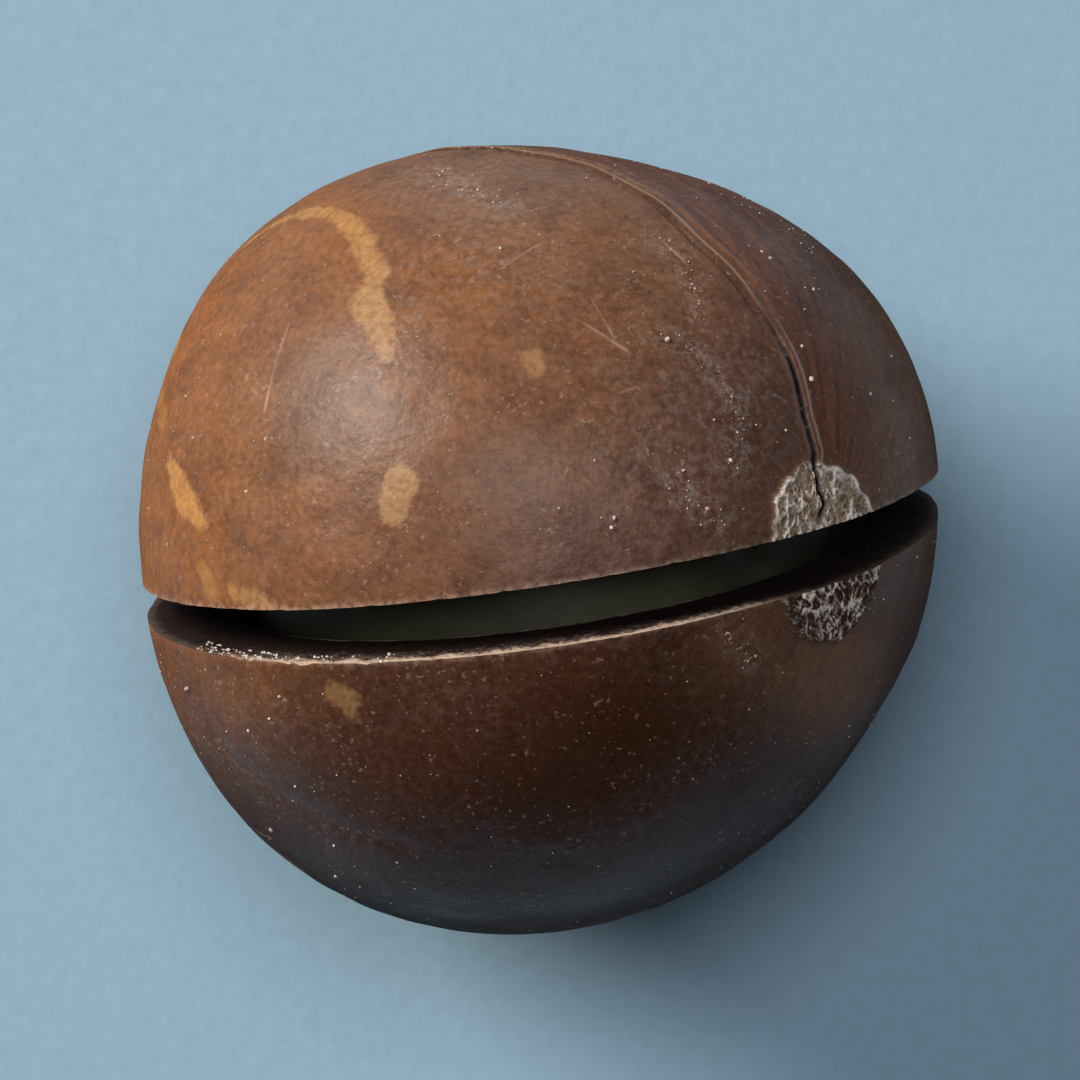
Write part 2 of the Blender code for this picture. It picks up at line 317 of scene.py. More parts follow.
def scar_edge(azimuth):
    """Reach of the scar's uneven outline along each azimuth: longest down the slope, away from the top."""
    aside = 0.49 * np.cos(azimuth + 2.05) + 0.33 * np.cos(2.0 * azimuth - 0.51)
    return SCAR_REACH + aside + 0.05 * np.sin(9.0 * azimuth + 2.0) + 0.05 * np.sin(21.0 * azimuth)


def scar_net(reach, azimuth):
    """Torn fibres of the scar: two sizes of bent net, drawn out square to the slot."""
    here = np.column_stack((0.80 * reach * np.cos(azimuth), reach * np.sin(azimuth)))
    bent = here + 0.15 * np.sin(4.7 * here[:, ::-1] + (1.0, 2.0)) + 0.07 * np.sin(13.0 * here[:, ::-1])
    coarse = cell_net(bent, NET_CELL, seed=5)
    fine = cell_net(bent, 0.45 * NET_CELL, seed=6)
    return np.maximum(coarse * (0.75 + 0.25 * fine), 0.45 * fine)


def relief(directions):
    """Height of the skin over the smooth body, with the fields that the skin's finish is drawn from."""
    polar, azimuth, offset = seed_angles(directions)
    points = directions * PLAN_RADIUS
    degrees = np.degrees(polar)
    reach = polar * PLAN_RADIUS
    from_suture = PLAN_RADIUS * np.sin(polar) * offset
    from_tip = 180.0 - degrees
    scar = 1.0 - fade(reach - scar_edge(azimuth), -0.25, 0.06)
    near_scar = reach < SCAR_REACH + 1.0
    net = np.zeros(len(directions))
    net[near_scar] = scar_net(reach[near_scar], azimuth[near_scar])
    patch = np.clip(0.5 + 0.5 * waves(points, 0.9, 30, seed=9), 0.0, 1.0)
    net = net * (0.40 + 0.60 * patch)
    above = fade(directions @ SLOT_NORMAL, -0.02, 0.02)
    rim = bump(reach - scar_edge(azimuth) + 0.17, 0.15)
    net = np.maximum(net, rim * (0.25 + above * patch))
    opened = fade(degrees, 3.0, 5.0) * (1.0 - fade(degrees, CRACK_END - 10.0, CRACK_END + 2.0))
    raised = fade(degrees, CRACK_END - 10.0, CRACK_END + 8.0) * (1.0 - fade(degrees, 150.0, 172.0))
    ribs = (1.0 - fade(from_tip, 0.35 * RIB_REACH, RIB_REACH)) * fade(from_tip, 2.0, 10.0)
    crease = nearest_mark(points, (CREASE,))[0]

    height = scar * (SCAR_RISE + NET_HEIGHT * (net - 0.4))
    height += SEAM_HEIGHT * raised * bump(from_suture, SEAM_HALF_WIDTH)
    for aside, rise, half in SEAM_SIDES:
        height += rise * raised * bump(from_suture - aside, half)
    height += LIP_HEIGHT * opened * (1.0 - scar) * bump(np.abs(from_suture) - LIP_ASIDE, LIP_HALF_WIDTH)
    height -= CRACK_DEPTH * opened * bump(from_suture, CRACK_HALF_WIDTH)
    height += TIP_RISE * bump(from_tip, TIP_SPREAD)
    height += RIB_HEIGHT * ribs * np.cos(RIB_COUNT * offset)
    height -= CREASE_DEPTH * fade(crease, -0.4, 0.3)
    height += 0.05 * waves(points, 6.0, 24, seed=3) + 0.012 * waves(points, 1.6, 40, seed=4)
    fields = {
        "suture": from_suture,
        "opened": opened,
        "edges": opened * (1.0 - scar),
        "raised": raised,
        "scar": scar,
        "packed": scar * above,
        "net": net * scar,
        "polar": polar,
        "azimuth": azimuth,
        "offset": offset,
        "crease": fade(crease, -0.25, 0.2),
    }
    return height, fields


def skin_radius(directions):
    """Distance from the middle to the finished skin."""
    return body_radius(directions) + relief(directions)[0]


def lining_radius(directions):
    """Distance from the middle to the inside of the wall, which is nearly smooth."""
    wall = bpy.context.scene.macadamia_shell.wall / MM
    return body_radius(directions) - wall + 0.03 * waves(directions * PLAN_RADIUS, 3.0, 16, seed=8)


def kernel_radius(directions):
    """A ball with a blunt point towards the tip and a shallow seam between its two halves."""
    polar, _, offset = seed_angles(directions)
    point = KERNEL_POINT * bump(180.0 - np.degrees(polar), KERNEL_POINT_SPREAD)
    from_seam = KERNEL_RADIUS * np.abs(np.sin(polar) * np.sin(offset - math.radians(KERNEL_SEAM_AZIMUTH)))
    seam = KERNEL_SEAM_DEPTH * bump(from_seam, KERNEL_SEAM_HALF_WIDTH)
    lumps = 0.06 * waves(directions * KERNEL_RADIUS, 4.0, 20, seed=41)
    return KERNEL_RADIUS + point - seam + lumps


def spread(low, high, count, crowding):
    """count + 1 stops from low to high, closer together where crowding is larger."""
    fine = np.linspace(low, high, 4001)
    weight = crowding(fine)
    total = np.concatenate(([0.0], np.cumsum((weight[1:] + weight[:-1]) / 2.0)))
    return np.interp(np.linspace(0.0, total[-1], count + 1), total, fine)


def evenly(places):
    """No crowding."""
    return np.ones_like(places)


def towards(longitude, latitude):
    """Direction at a longitude round the slot's plane and a latitude out of it, in radians."""
    east, north = np.cos(longitude)[..., None], np.sin(longitude)[..., None]
    level = east * LONGITUDE_ZERO + north * LONGITUDE_SQUARE
    return np.cos(latitude)[..., None] * level + np.sin(latitude)[..., None] * SLOT_NORMAL


def laid_out(longitude, latitude, radius_of):
    """Grid of surface points at longitudes and latitudes."""
    ways = towards(np.broadcast_to(longitude, latitude.shape), latitude)
    flat = ways.reshape(-1, 3)
    return (flat * radius_of(flat)[:, None]).reshape(ways.shape)


def slot_width(points):
    """The slot gapes like a mouth: widest at the top, narrower at the sides, and least on the left."""
    least = bpy.context.scene.macadamia_shell.slot_width / MM
    return least + (SLOT_GAPE * (points @ SLOT_UP) + SLOT_SKEW * (points @ SLOT_RIGHT)) / PLAN_RADIUS


def lip(longitude, side, radius_of, chip):
    """Latitude at which a surface meets one side of the slot. side is 1 above the slot and -1 below."""
    latitude = np.zeros_like(longitude)
    for _ in range(LIP_ROUNDS):
        ways = towards(longitude, latitude)
        radius = radius_of(ways)
        half = 0.5 * slot_width(ways * radius[:, None])
        latitude = np.arcsin((SLOT_SHIFT + side * (half + chip)) / radius)
    return latitude


def slot_ends(radius_of):
    """Longitudes of the slot's left and right ends: where the surface is SLOT_END_DROP below the middle."""
    ends = []
    for low, high in ((-180.0, -130.0), (95.0, 45.0)):
        tries = np.radians(np.linspace(low, high, 400))
        ways = towards(tries, np.zeros_like(tries))
        height = radius_of(ways) * (ways @ SLOT_UP)
        ends.append(float(np.interp(-SLOT_END_DROP, height, tries)))
    return ends


def left_of_top(longitude):
    """1 along the part of the slot's edge where the saw tore it most, left of the top."""
    return fade(np.degrees(longitude), -118.0, -102.0) * (1.0 - fade(np.degrees(longitude), -84.0, -62.0))


def chips(longitude, side, ends):
    """How far the saw broke the outer edge away along the slot, in mm: many small bites and a few big."""
    arc = longitude * PLAN_RADIUS
    draw = np.random.default_rng(21 + side)
    rough = np.zeros_like(arc)
    for wavelength, size in ((2.6, 0.5), (1.1, 0.6), (0.55, 0.7), (0.27, 0.5)):
        rough += size * np.sin(2.0 * math.pi * arc / wavelength + draw.uniform(0.0, 6.3))
    bites = np.clip(rough - 0.5, 0.0, 2.0)
    below = side < 0
    even = 0.06 if below else 0.02
    strength = (0.02 + 0.10 * left_of_top(longitude)) if below else 0.022
    inside = fade(longitude, ends[0], ends[0] + 0.05) * (1.0 - fade(longitude, ends[1] - 0.05, ends[1]))
    return inside * (even + strength * bites)


def grid_triangles(rows, columns, first, flip):
    """Two triangles in each cell of a grid of points that is stored row by row."""
    index = first + np.arange(rows * columns).reshape(rows, columns)
    a, b = index[:-1, :-1].ravel(), index[:-1, 1:].ravel()
    c, d = index[1:, 1:].ravel(), index[1:, :-1].ravel()
    faces = np.concatenate((np.column_stack((a, b, c)), np.column_stack((a, c, d))))
    return faces[:, ::-1] if flip else faces


class Patchwork:
    """Grids of points that share their edges and are sewn into one closed surface."""

    def __init__(self):
        self.points, self.faces, self.finish, self.depth = [], [], [], []
        self.count = 0

    def add(self, grid, finish, flip, depth=None):
        """Takes a grid of points as rows by columns by 3, its finish, and its depth in the wall."""
        rows, columns = grid.shape[:2]
        faces = grid_triangles(rows, columns, self.count, flip)
        self.points.append(grid.reshape(-1, 3))
        self.depth.append(np.zeros(rows * columns) if depth is None else depth.ravel())
        self.faces.append(faces)
        self.finish.append(np.full(len(faces), finish))
        self.count += rows * columns

    def sewn(self):
        """Points, faces, finish of each face and depth of each point, with shared points made one."""
        points, depth = np.concatenate(self.points), np.concatenate(self.depth)
        faces, finish = np.concatenate(self.faces), np.concatenate(self.finish)
        keys = np.round(points * 1e5).astype(np.int64)
        _, first, index = np.unique(keys, axis=0, return_index=True, return_inverse=True)
        faces = index.reshape(-1)[faces]
        a, b, c = faces.T
        whole = (a != b) & (b != c) & (a != c)
        return points[first], faces[whole], finish[whole], depth[first]


def cap_grid(longitude, edge, side, radius_of, rows, crowding):
    """A cap of the nut, row by row from the slot's edge up each meridian to its pole, at radius_of."""
    share = spread(0.0, 1.0, rows, crowding)[:, None]
    latitude = edge[None, :] + share * (side * math.pi / 2.0 - edge[None, :])
    grid = laid_out(longitude, latitude, radius_of)
    grid[-1] = grid[-1].mean(axis=0)
    return grid


def band_grid(longitude, low, high, radius_of):
    """The band between the slot's two planes where the saw didn't reach, as rows from low to high."""
    share = np.linspace(0.0, 1.0, BAND_ROWS + 1)[:, None]
    return laid_out(longitude, low[None, :] + share * (high - low)[None, :], radius_of)


def wall_shares():
    """Stops through the wall from its outer edge, 0, to its inner one, 1, closer near the outer edge."""
    return np.linspace(0.0, 1.0, WALL_ROWS + 1)[:, None] ** 1.7


def wall_grid(outer, inner, side, torn):
    """A cut face as straight lines from the outer edge to the inner one, bitten back near the top."""
    share = wall_shares()
    grid = outer[None] + share[..., None] * (inner - outer)[None]
    back = torn[None, :] * ((1.0 - np.clip(share / 0.16, 0.0, 1.0)) ** 1.5 - (1.0 - share))
    flat = grid.reshape(-1, 3)
    rough = 0.03 * waves(flat, 0.8, 30, seed=31) + 0.02 * waves(flat, 0.35, 30, seed=32)
    rough = rough.reshape(grid.shape[:2])
    inside = np.clip(share * (1.0 - share) * 12.0, 0.0, 1.0)
    return grid + side * (back + rough * inside)[..., None] * SLOT_NORMAL


def by_the_scar(longitude):
    """Columns crowd where they cross the scar, which has the finest relief."""
    return 1.0 + 4.0 * bump(np.degrees(longitude) - 4.0, 14.0)


def by_the_slot(share):
    """Rows crowd from the slot's edge to the far edge of the scar."""
    return 1.0 + 2.2 * bump(share, 0.13)


def shell_patches():
    """The whole shell: skin, cut faces, bridge and lining, each a grid that shares its edges."""
    work = Patchwork()
    outer_ends, inner_ends = slot_ends(skin_radius), slot_ends(lining_radius)
    turn = 2.0 * math.pi
    cut = spread(outer_ends[0], outer_ends[1], CUT_COLUMNS, by_the_scar)
    bridge = np.linspace(outer_ends[1], outer_ends[0] + turn, BRIDGE_COLUMNS + 1)
    inner_cut = np.interp(cut, outer_ends, inner_ends)
    inner_bridge = np.linspace(inner_ends[1], inner_ends[0] + turn, BRIDGE_COLUMNS + 1)
    outer_rims, inner_rims = {}, {}
    for side in (1, -1):
        torn = chips(cut, side, outer_ends)
        outer = lip(cut, side, skin_radius, torn)
        inner = lip(inner_cut, side, lining_radius, 0.0)
        outer_rims[side] = lip(bridge, side, skin_radius, 0.0)
        inner_rims[side] = lip(inner_bridge, side, lining_radius, 0.0)
        for stops, edge in ((cut, outer), (bridge, outer_rims[side])):
            work.add(cap_grid(stops, edge, side, skin_radius, CAP_ROWS, by_the_slot), COAT, side < 0)
        for stops, edge in ((inner_cut, inner), (inner_bridge, inner_rims[side])):
            work.add(cap_grid(stops, edge, side, lining_radius, LINING_ROWS, evenly), LINING, side > 0)
        outer_edge = laid_out(cut, outer, skin_radius)
        inner_edge = laid_out(inner_cut, inner, lining_radius)
        face = wall_grid(outer_edge, inner_edge, side, torn)
        work.add(face, SAWN, side < 0, np.broadcast_to(wall_shares(), face.shape[:2]))
    outer_band = band_grid(bridge, outer_rims[-1], outer_rims[1], skin_radius)
    inner_band = band_grid(inner_bridge, inner_rims[-1], inner_rims[1], lining_radius)
    work.add(outer_band, COAT, False)
    work.add(inner_band, LINING, True)
    share = wall_shares()
    for column, flip in ((0, True), (-1, False)):
        ends = outer_band[None, :, column] + share[..., None] * (inner_band - outer_band)[None, :, column]
        work.add(ends, SAWN, flip, np.broadcast_to(share, ends.shape[:2]))
    return work.sewn()


def place_tint(x, y, place):
    """A bell over one of the round places of the skin, as seen from above."""
    strength, middle_x, middle_y, radius = place
    return strength * bump(np.hypot(x - middle_x, y - middle_y), radius)


def skin_values(points, depth):
    """What the finishes read at each point of the shell, as one array for each label.

    Most are sums and products of smooth steps and bells: of the height over the slot, of x, y and z, and
    of the angles from the scar and from the suture.
    """
    ways = unit(points)
    fields = relief(ways)[1]
    skin = ways * body_radius(ways)[:, None]
    x, y, z = skin.T
    degrees, turned = np.degrees(fields["polar"]), np.degrees(fields["offset"])
    above_slot = points @ SLOT_NORMAL - SLOT_SHIFT

    ruddy = fade(-turned, 0.5, 5.0) * (1.0 - fade(-turned, 60.0, 110.0)) * fade(degrees, 8.0, 16.0)
    # Darker below the slot: partly darker pigment, partly painted shade
    pigment_and_painted_shade = 0.85 * fade(-above_slot, 0.0, 1.3) + 0.15 * fade(-above_slot, 2.0, 9.0)
    for place in LIGHT_BELOW_SLOT:
        pigment_and_painted_shade *= 1.0 - place_tint(x, y, place)
    # Painted shade on the low sides towards the lower right, away from the window
    pigment_and_painted_shade = np.maximum(pigment_and_painted_shade, 0.9 * fade(-z, -5.5, 1.0) * fade(x - y, 0.0, 11.0))
    pigment_and_painted_shade = pigment_and_painted_shade * (1.0 - 0.6 * fade(-z, -1.0, 5.0))
    right_rim = fade(x, 8.0, 11.2)
    # Plum tint, strongest just above the slot and in one place right of the middle: partly pigment, partly
    # painted shade
    plum_and_painted_shade = 0.75 * (1.0 - fade(above_slot, 1.0, 6.5)) * fade(x, -8.0, 2.0)
    plum_and_painted_shade = np.maximum(plum_and_painted_shade, place_tint(x, y, PLUM_PLACE)) * fade(above_slot, -0.5, 0.5)
    plum_and_painted_shade *= 1.0 - 0.8 * right_rim
    warm = fade(-x, 7.0, 11.5) + 0.8 * right_rim
    for place in WARM_ABOVE_SLOT:
        warm += place_tint(x, y, place)
    warm *= 1.0 - 0.7 * fade(-above_slot, 1.0, 5.0)
    for place in WARM_BELOW_SLOT:
        warm += place_tint(x, y, place) * fade(-above_slot, 0.0, 0.5)
    trail = fade(nearest_mark(skin, DUST_TRAILS)[0], -0.45, 0.2)
    film = 0.12 * (1.0 + waves(skin, 5.0, 16, seed=17))
    for place in DUSTY_PLACES:
        film += place_tint(x, y, place)

    hidden = hidden_marks(HIDDEN_FLECKS, (0.4, 2.2), (0.2, 0.6), highest=0.1, seed=11)
    marks = [mark for _, mark in OCHRE_FLECKS] + hidden
    strengths = np.array([strength for strength, _ in OCHRE_FLECKS] + [0.7] * HIDDEN_FLECKS)
    fleck, which = nearest_mark(skin, marks)

    longitude = np.arctan2(ways @ LONGITUDE_SQUARE, ways @ LONGITUDE_ZERO)
    # A stretch of the lower edge where the pale torn wood is partly a painted highlight
    torn_and_lit_edge = 1.0 - fade(np.degrees(longitude), -20.0, -4.0)
    torn_and_lit_edge = torn_and_lit_edge * fade(np.degrees(longitude), -102.0, -86.0)
    bare_and_lit = np.where(above_slot < 0.0, 0.10 + 0.90 * torn_and_lit_edge, 0.35)
    brink = bump(np.abs(above_slot) - 0.5 * slot_width(points), 0.13)
    brink = brink * np.where(above_slot < 0.0, 0.35 * torn_and_lit_edge, 0.45) * (1.0 - fields["scar"])
    brink *= fade(points @ SLOT_UP, 0.1 - SLOT_END_DROP, 0.6 - SLOT_END_DROP)
    from_relief = ("opened", "edges", "raised", "scar", "packed", "net", "crease")
    return {
        "brink": brink,
        "ochre": fleck,
        "clinging": strengths[which],
        "suture": np.clip(fields["suture"], -3.0, 3.0),
        **{label: fields[label] for label in from_relief},
        "trail": trail * (1.0 - fields["scar"]),
        "film": np.clip(film, 0.0, 1.0) * (1.0 - fields["scar"]),
        "ruddy": 0.85 * ruddy * (1.0 - fade(degrees, 95.0, 130.0)) * (1.0 - 0.6 * right_rim),
        "pigment_and_painted_shade": pigment_and_painted_shade,
        "plum_and_painted_shade": plum_and_painted_shade,
        "matt": fade(-z, -6.0, -0.5),
        "warm": np.clip(warm, 0.0, 1.0),
        "depth": depth,
        "bare_and_lit": bare_and_lit,
        "enamel": 1.0 - degrees / 180.0,
        "meridian": np.column_stack((np.cos(fields["azimuth"]), np.sin(fields["azimuth"]), fields["polar"])),
    }


def middle_of_nut():
    """Where the middle of the nut stands in the frame, in mm: over the origin, on its flat spot."""
    around = np.linspace(0.0, 2.0 * math.pi, 720, endpoint=False)
    ways = np.column_stack((np.cos(around), np.sin(around), np.zeros_like(around)))
    rim = ways * body_radius(ways)[:, None]
    low, high = (np.array(corner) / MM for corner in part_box("shell"))
    middle = (low + high) / 2.0 - (rim.max(axis=0) + rim.min(axis=0)) / 2.0
    return np.array((middle[0], middle[1], low[2] + FLOOR_DROP))


def skin_grains(count):
    """Middles and radii of the grains on the skin: the clear ones, the trails, and count of the rest."""
    draw = np.random.default_rng(61)
    clear = np.array(CLEAR_GRAINS)
    ways = [unit(on_skin(clear[:, :2]))]
    radii = [clear[:, 2]]
    for trail in DUST_TRAILS:
        rows = np.array(trail)
        share = draw.uniform(0.0, len(rows) - 1.0, GRAINS_PER_TRAIL)
        x, y, half = (np.interp(share, np.arange(len(rows)), column) for column in rows.T)
        scatter = draw.normal(scale=0.5, size=(GRAINS_PER_TRAIL, 2)) * half[:, None]
        ways.append(unit(on_skin(np.column_stack((x, y)) + scatter)))
        radii.append(draw.uniform(*TRAIL_GRAIN_RADII, GRAINS_PER_TRAIL))
    ways.append(unit(draw.normal(size=(count, 3))))
    radii.append(draw.uniform(*LOOSE_GRAIN_RADII, count))
    ways, radii = np.concatenate(ways), np.concatenate(radii)
    middles = ways * (skin_radius(ways) + 0.15 * radii)[:, None]
    off_slot = np.abs(middles @ SLOT_NORMAL - SLOT_SHIFT) > 0.5 * slot_width(middles) + 0.3
    keep = off_slot & (ways[:, 2] > -0.85)
    return middles[keep], radii[keep]


def wall_grains(count):
    """Middles and radii of the grains on the torn wall inside the slot's lower edge, closest at the left."""
    draw = np.random.default_rng(63)
    outer_ends, inner_ends = slot_ends(skin_radius), slot_ends(lining_radius)
    stops = np.radians(WALL_GRAINS_START + WALL_GRAINS_SPAN * draw.uniform(0.0, 1.0, count) ** 1.4)
    torn = chips(stops, -1, outer_ends)
    inner_stops = np.interp(stops, outer_ends, inner_ends)
    outer = laid_out(stops, lip(stops, -1, skin_radius, torn), skin_radius)
    inner = laid_out(inner_stops, lip(inner_stops, -1, lining_radius, 0.0), lining_radius)
    wall = wall_grid(outer, inner, -1, torn)
    rows = draw.integers(1, 5, count)
    return wall[rows, np.arange(count)], draw.uniform(*WALL_GRAIN_RADII, count)


def grain_mesh(count):
    """Each grain is a ball of 20 faces, squashed and turned at random, half sunk into the skin."""
    ball = bmesh.new()
    bmesh.ops.create_icosphere(ball, subdivisions=1, radius=1.0)
    shape = np.array([vertex.co for vertex in ball.verts])
    faces = np.array([[vertex.index for vertex in face.verts] for face in ball.faces])
    ball.free()
    middles, radii = (np.concatenate(pair) for pair in zip(skin_grains(count), wall_grains(WALL_GRAINS)))
    draw = np.random.default_rng(62)
    turns = np.linalg.qr(draw.normal(size=(len(radii), 3, 3)))[0]
    turns[np.linalg.det(turns) < 0.0] *= -1.0
    squash = draw.uniform(0.55, 1.0, size=(len(radii), 1, 3))
    uneven = shape[None] * draw.uniform(0.8, 1.1, size=(len(radii), len(shape), 1))
    grains = np.einsum("gvi,gij->gvj", uneven * squash, turns) * radii[:, None, None]
    points = (grains + middles[:, None]).reshape(-1, 3)
    index = faces[None] + len(shape) * np.arange(len(radii))[:, None, None]
    return points, index.reshape(-1, 3)


def new_object(name, points, faces, finish, materials, values):
    """A smooth mesh object from whole arrays in mm, with one attribute for each of values."""
    data = bpy.data.meshes.new(name)
    data.vertices.add(len(points))
    data.vertices.foreach_set("co", (points * MM).astype(np.float32).ravel())
    data.loops.add(faces.size)
    data.loops.foreach_set("vertex_index", faces.astype(np.int32).ravel())
    data.polygons.add(len(faces))
    data.polygons.foreach_set("loop_start", np.arange(0, faces.size, 3, dtype=np.int32))
    data.polygons.foreach_set("material_index", finish.astype(np.int32))
    for material in materials:
        data.materials.append(material)
    for label, numbers in values.items():
        kind, field = ("FLOAT", "value") if numbers.ndim == 1 else ("FLOAT_VECTOR", "vector")
        layer = data.attributes.new(label, kind, "POINT")
        layer.data.foreach_set(field, numbers.astype(np.float32).ravel())
    data.update(calc_edges=True)
    data.shade_smooth()
    data.set_sharp_from_angle(angle=math.radians(50.0))
    thing = bpy.data.objects.new(name, data)
    bpy.context.scene.collection.objects.link(thing)
    return thing


def put(tree, kind, inputs=None, out=0, **settings):
    """Adds a node with its settings, fills its inputs with values or links, and returns one output."""
    node = tree.nodes.new("ShaderNode" + kind)
    for name, value in settings.items():
        setattr(node, name, value)
    for key, value in (inputs or {}).items():
        if isinstance(value, bpy.types.NodeSocket):
            tree.links.new(value, node.inputs[key])
        else:
            node.inputs[key].default_value = value
    return node.outputs[out] if node.outputs else node


# A Mix node that mixes colours, with its sockets for the share and for the colours at 0 and at 1
COLOURS = {"out": 2, "data_type": "RGBA"}
SHARE, BELOW, ABOVE = 0, 6, 7


def per_metre(size_mm):
    """Scale of a pattern on Object coordinates whose features are size_mm across."""
    return 1000.0 / size_mm


def rgba(colour):
    """A colour property, or a hex colour, as the four linear numbers that a socket takes."""
    return (*(linear(colour) if isinstance(colour, str) else colour)[:3], 1.0)


def start_material(name, labels=()):
    """A node material with its shader, its object coordinates, and the attributes that it reads."""
    material = bpy.data.materials.new(name)
    material.use_nodes = True
    tree = material.node_tree
    tree.nodes.clear()
    surface = put(tree, "BsdfPrincipled")
    put(tree, "OutputMaterial", {"Surface": surface})
    place = put(tree, "TexCoord", out="Object")
    read = {label: put(tree, "Attribute", attribute_name=label, out="Fac") for label in labels}
    return material, tree, surface.node, place, read


# Colours of the finishes that a user wouldn't change
PLUM, RUDDY, RUDDY_STREAK = "#5C4137", "#7D4B33", "#48261A"
FADED_FLECK, PACKED_FIBRE, SCRATCH, SPECK = "#AD8458", "#C0A486", "#B58E78", "#9C8270"
WALL_PITS, WALL_FIBRES, WALL_FLUFF = "#0C0705", "#2E1D17", "#8C766C"
LINING_BROWN, ENAMEL, TAN_GRAIN = "#3A2519", "#8A7458", "#A98A76"


def bare_coat(tree, settings, place, read, grain):
    """Colour of the coat: warm parts, dark parts that are partly painted shade, clouds, streaks towards the
    tip, and fine grain.
    """
    cloud = put(tree, "TexNoise", {"Vector": place, "Scale": per_metre(5.0), "Detail": 3.0})
    cloud = put(tree, "MapRange", {"Value": cloud, "From Min": 0.38, "From Max": 0.75, "To Max": 0.5})
    warm = put(tree, "Math", {0: cloud, 1: read["warm"]}, operation="MAXIMUM")
    colour = put(
        tree, "Mix", {SHARE: warm, BELOW: rgba(settings.coat_colour), ABOVE: rgba(settings.warm_colour)},
        **COLOURS,
    )
    # Painted shade, partly darker pigment, below the slot and on the lower right, less where the coat is
    # warm
    pigment_and_painted_shade = put(tree, "Math", {0: read["warm"], 1: -0.35, 2: read["pigment_and_painted_shade"]}, operation="MULTIPLY_ADD")
    colour = put(
        tree, "Mix", {SHARE: pigment_and_painted_shade, BELOW: colour, ABOVE: rgba(settings.pigment_and_painted_shade_colour)}, **COLOURS
    )
    # Plum tint, partly painted shade
    colour = put(tree, "Mix", {SHARE: read["plum_and_painted_shade"], BELOW: colour, ABOVE: rgba(PLUM)}, **COLOURS)
    blotch = put(
        tree, "TexNoise", {"Vector": place, "Scale": per_metre(1.4), "Detail": 6.0, "Roughness": 0.6}
    )
    blotch = put(tree, "MapRange", {"Value": blotch, "From Min": 0.44, "From Max": 0.72, "To Max": 0.5})
    colour = put(
        tree, "Mix", {SHARE: blotch, BELOW: colour, ABOVE: rgba(settings.deep_colour)}, **COLOURS
    )

    meridian = put(tree, "Attribute", attribute_name="meridian", out="Vector")
    drawn_out = put(tree, "VectorMath", {0: meridian, 1: (17.0, 17.0, 4.0)}, operation="MULTIPLY")
    streak = put(tree, "TexNoise", {"Vector": drawn_out, "Scale": 1.0, "Detail": 6.0, "Roughness": 0.7})
    streak = put(tree, "MapRange", {"Value": streak, "From Min": 0.34, "From Max": 0.68})
    ruddy = put(tree, "Mix", {SHARE: streak, BELOW: rgba(RUDDY), ABOVE: rgba(RUDDY_STREAK)}, **COLOURS)
    colour = put(tree, "Mix", {SHARE: read["ruddy"], BELOW: colour, ABOVE: ruddy}, **COLOURS)
    faint = put(tree, "Math", {0: streak, 1: 0.24}, operation="MULTIPLY")
    colour = put(tree, "Mix", {SHARE: faint, BELOW: colour, ABOVE: rgba(settings.deep_colour)}, **COLOURS)

    tone = put(
        tree, "MapRange",
        {"Value": grain, "From Min": 0.30, "From Max": 0.70, "To Min": 0.72, "To Max": 1.28},
    )
    return put(tree, "VectorMath", {0: colour, "Scale": tone}, operation="SCALE")


def with_flecks(tree, settings, place, read, grain, colour):
    """Ochre flecks with soft ragged edges, where the husk's inner skin still clings."""
    ragged = put(
        tree, "TexNoise", {"Vector": place, "Scale": per_metre(0.9), "Detail": 7.0, "Roughness": 0.65}
    )
    ragged = put(
        tree, "MapRange",
        {"Value": ragged, "From Min": 0.3, "From Max": 0.7, "To Min": -0.21, "To Max": 0.21},
    )
    depth = put(tree, "Math", {0: read["ochre"], 1: ragged}, operation="ADD")
    share = put(tree, "MapRange", {"Value": depth, "From Min": -0.09, "From Max": 0.11})
    share = put(tree, "Math", {0: share, 1: read["clinging"]}, operation="MULTIPLY")
    worn = put(tree, "MapRange", {"Value": grain, "From Min": 0.35, "From Max": 0.62, "To Min": 0.50})
    share = put(tree, "Math", {0: share, 1: worn}, operation="MULTIPLY")
    fleck = put(
        tree, "Mix", {SHARE: read["warm"], BELOW: rgba(FADED_FLECK), ABOVE: rgba(settings.fleck_colour)},
        **COLOURS,
    )
    return put(tree, "Mix", {SHARE: share, BELOW: colour, ABOVE: fleck}, **COLOURS)


def with_scar(tree, settings, place, read, colour):
    """Scar: pale crossing fibres over brown pits, packed with beige fibre above the slot."""
    fibre = put(
        tree, "TexNoise",
        {"Vector": place, "Scale": per_metre(0.22), "Detail": 5.0, "Roughness": 0.7, "Distortion": 1.2},
    )
    strand = put(tree, "Math", {0: fibre, 1: 1.6, 2: read["net"]}, operation="MULTIPLY_ADD")
    strand = put(tree, "MapRange", {"Value": strand, "From Min": 1.00, "From Max": 1.40})
    pits = put(tree, "VectorMath", {0: colour, "Scale": 0.5}, operation="SCALE")
    packed = put(tree, "MapRange", {"Value": fibre, "From Min": 0.38, "From Max": 0.60, "To Min": 0.15})
    bed = put(tree, "Math", {0: read["packed"], 1: packed}, operation="MULTIPLY")
    bed = put(tree, "Mix", {SHARE: bed, BELOW: pits, ABOVE: rgba(PACKED_FIBRE)}, **COLOURS)
    fibres = put(tree, "Mix", {SHARE: strand, BELOW: bed, ABOVE: rgba(settings.scar_colour)}, **COLOURS)
    colour = put(tree, "Mix", {SHARE: read["scar"], BELOW: colour, ABOVE: fibres}, **COLOURS)
    return colour, put(tree, "Math", {0: strand, 1: read["scar"]}, operation="MULTIPLY")


